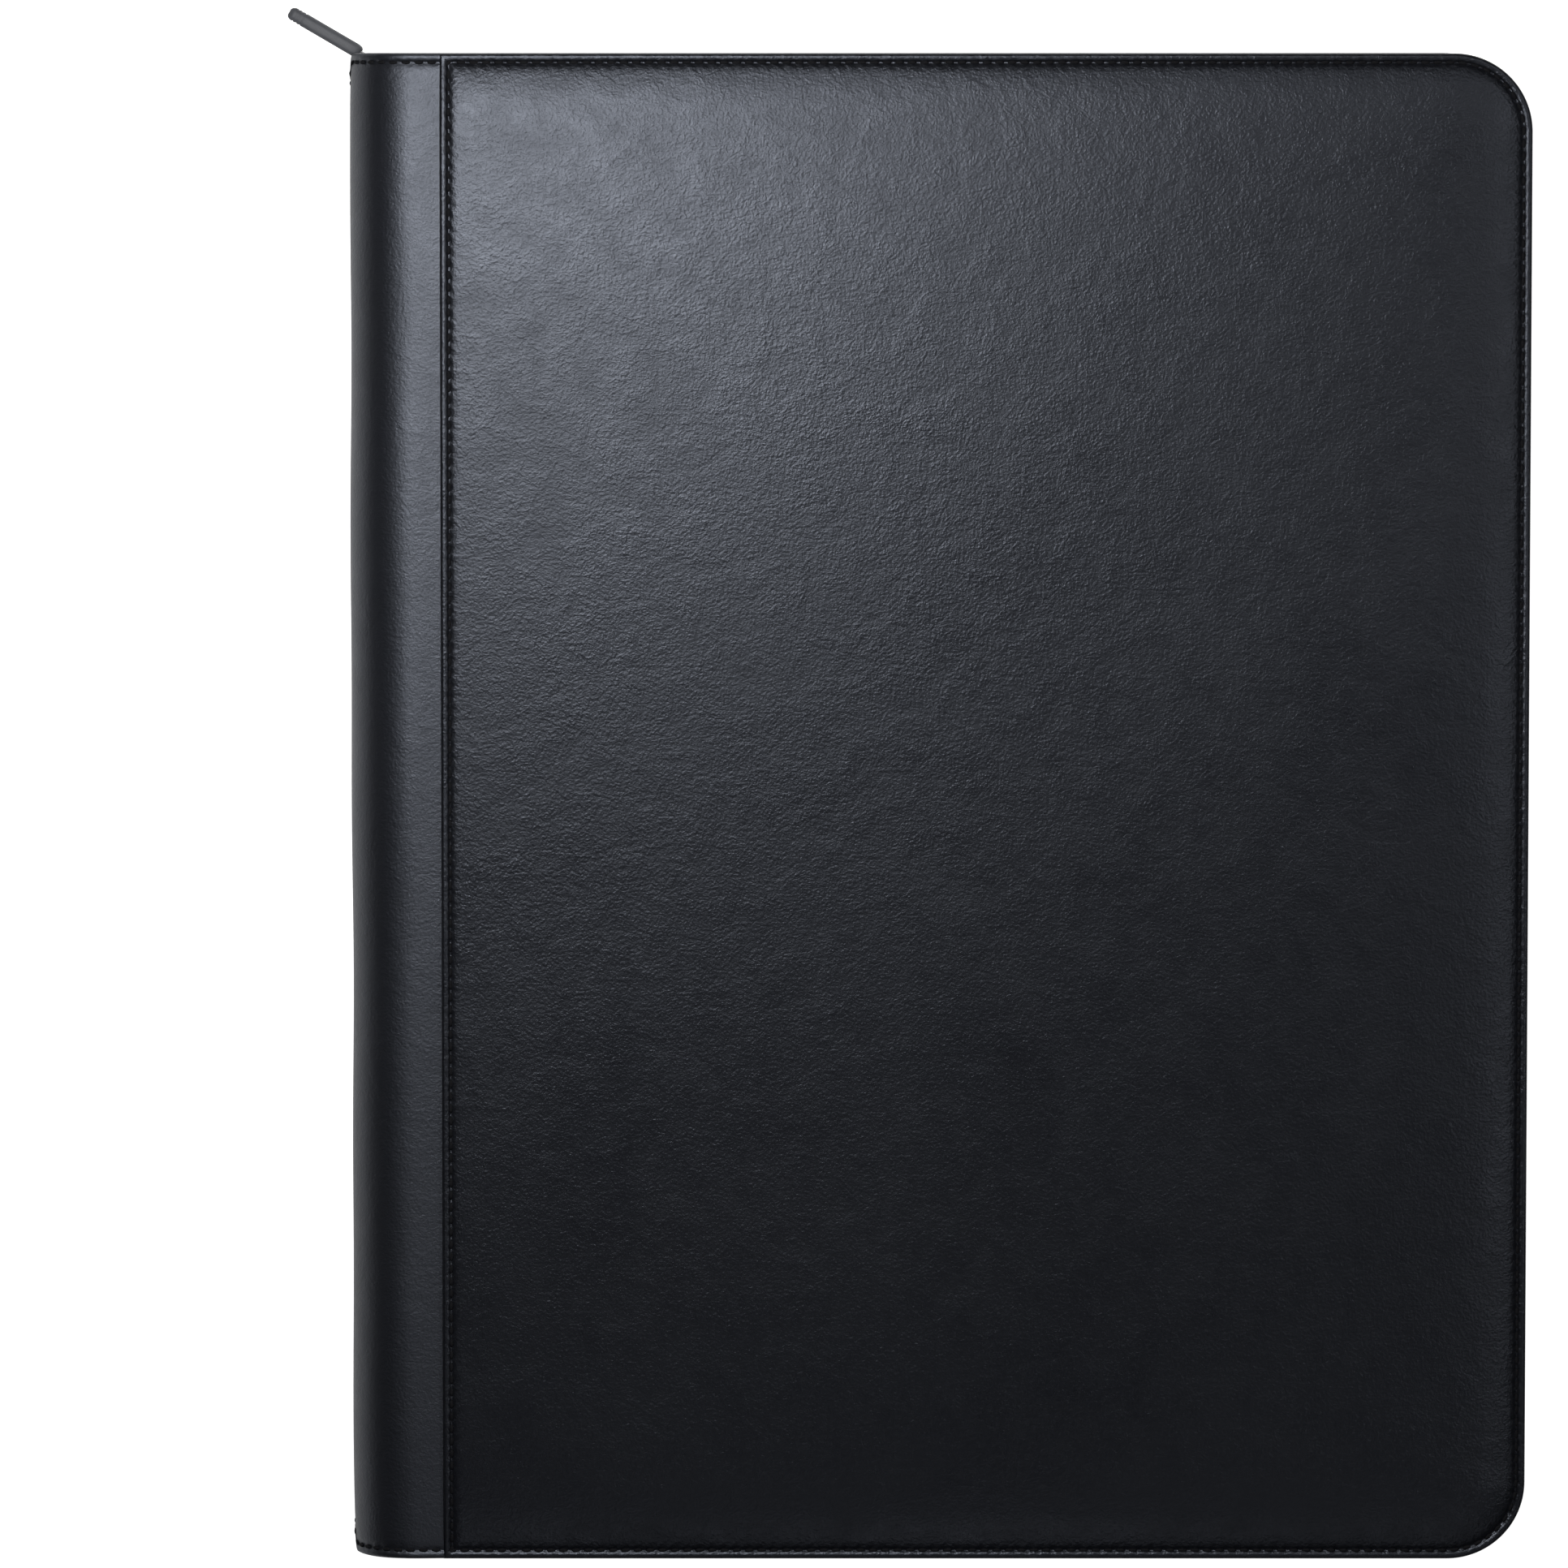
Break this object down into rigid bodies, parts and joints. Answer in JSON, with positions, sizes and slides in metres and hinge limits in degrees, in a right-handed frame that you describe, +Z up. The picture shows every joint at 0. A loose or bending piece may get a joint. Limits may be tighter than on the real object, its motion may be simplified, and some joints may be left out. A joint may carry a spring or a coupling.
{
  "type": "trading card binder",
  "caption": "Zip-round card binder with padded leather covers, rounded spine, gusseted walls and side-loading pocket leaves, lying closed with the zip undone.",
  "frame": {"origin": "middle of the back cover's outer face, on the surface that the closed binder lies on", "axes": "+X from the spine to the fore edge, +Y from the foot to the head, +Z up through the closed binder"},
  "size_m": [0.3506, 0.4376, 0.05],
  "materials": {
    "cover_leather": "embossed, matt satin",
    "spine_leather": "embossed, matt satin",
    "foam": "open cell padding",
    "board": "grey board",
    "lining": "smooth black lining",
    "canvas": "ribbed black canvas",
    "zip_tape": "twill tape",
    "zip_coil": "nylon coil",
    "smooth_tab": "smooth, sewn",
    "leaf": "black mesh film",
    "page_margin": "fine diagonal texture",
    "clear_film": "clear, glossy",
    "card": "printed, own plain designs",
    "thread": "sewing thread",
    "slider_enamel": "black enamel",
    "link_metal": "satin",
    "pull_rubber": "matt moulded"
  },
  "bodies": {
    "back_cover": {"back_panel_leather": "cover_leather", "back_foam": "foam", "back_board": "board", "back_lining": "lining", "back_hinge_strip": "spine_leather", "back_hinge_foam": "foam", "back_gusset": "canvas", "back_zip_tape": "zip_tape", "back_zip_coil": "zip_coil", "back_zip_stops": "zip_coil", "back_end_tabs": "smooth_tab"},
    "spine": {"spine_leather": "spine_leather", "spine_ends": "spine_leather", "spine_foam": "foam", "spine_lining": "lining", "binding_strip": "page_margin", "binding_thread": "thread"},
    "front_cover": {"front_panel_leather": "cover_leather", "front_foam": "foam", "front_board": "board", "front_lining": "lining", "front_hinge_strip": "spine_leather", "front_hinge_foam": "foam", "front_gusset": "canvas", "front_zip_tape": "zip_tape", "front_zip_coil": "zip_coil", "front_zip_stops": "zip_coil", "front_end_tabs": "smooth_tab"},
    "back_pages": {"leaf_01": "leaf", "leaf_02": "leaf", "leaf_03": "leaf", "leaf_04": "leaf", "leaf_05": "leaf", "leaf_06": "leaf", "leaf_07": "leaf", "leaf_08": "leaf", "leaf_09": "leaf", "leaf_10": "leaf", "back_page_margins": "page_margin", "back_cards": "card", "back_pocket_films": "clear_film"},
    "front_pages": {"leaf_11": "leaf", "leaf_12": "leaf", "leaf_13": "leaf", "leaf_14": "leaf", "leaf_15": "leaf", "leaf_16": "leaf", "leaf_17": "leaf", "leaf_18": "leaf", "leaf_19": "leaf", "leaf_20": "leaf", "front_page_margins": "page_margin", "front_cards": "card", "front_pocket_films": "clear_film"},
    "slider": {"slider_body": "slider_enamel", "slider_bridge": "slider_enamel"},
    "pull_link": {"pull_link": "link_metal"},
    "pull_tab": {"pull_tab": "pull_rubber"}
  },
  "joints": [
    {"name": "spine_hinge", "type": "hinge", "parent": "back_cover", "child": "spine", "pos_m": [-0.16214, 0, 0.00386], "axis": [0, -1, 0], "range_deg": [0, 90]},
    {"name": "front_hinge", "type": "hinge", "parent": "spine", "child": "front_cover", "pos_m": [-0.16214, 0, 0.04614], "axis": [0, -1, 0], "range_deg": [0, 90]},
    {"name": "front_pages_turn", "type": "hinge", "parent": "spine", "child": "front_pages", "pos_m": [-0.15814, 0, 0.04214], "axis": [0, -1, 0], "range_deg": [0, 90], "deforming": ["front_page_margins"]},
    {"name": "back_pages_turn", "type": "hinge", "parent": "spine", "child": "back_pages", "pos_m": [-0.15814, 0, 0.00786], "axis": [0, -1, 0], "range_deg": [-90, 0], "deforming": ["back_page_margins"]},
    {"name": "slider_travel", "type": "slide", "parent": "back_cover", "child": "slider", "axis": [1, 0, 0], "range_m": [0, 0.29]},
    {"name": "pull_link_turn", "type": "hinge", "parent": "slider", "child": "pull_link", "pos_m": [-0.1574, 0.2092, 0.025], "axis": [0, 0, 1], "range_deg": [-131, 9]},
    {"name": "pull_tab_turn", "type": "hinge", "parent": "pull_link", "child": "pull_tab", "pos_m": [-0.1644, 0.21308, 0.025], "axis": [0, 0, 1], "range_deg": [-10, 10]}
  ],
  "couplings": [
    {"joint": "front_pages_turn", "follows": "front_hinge", "ratio": 1},
    {"joint": "back_pages_turn", "follows": "spine_hinge", "ratio": -1}
  ]
}
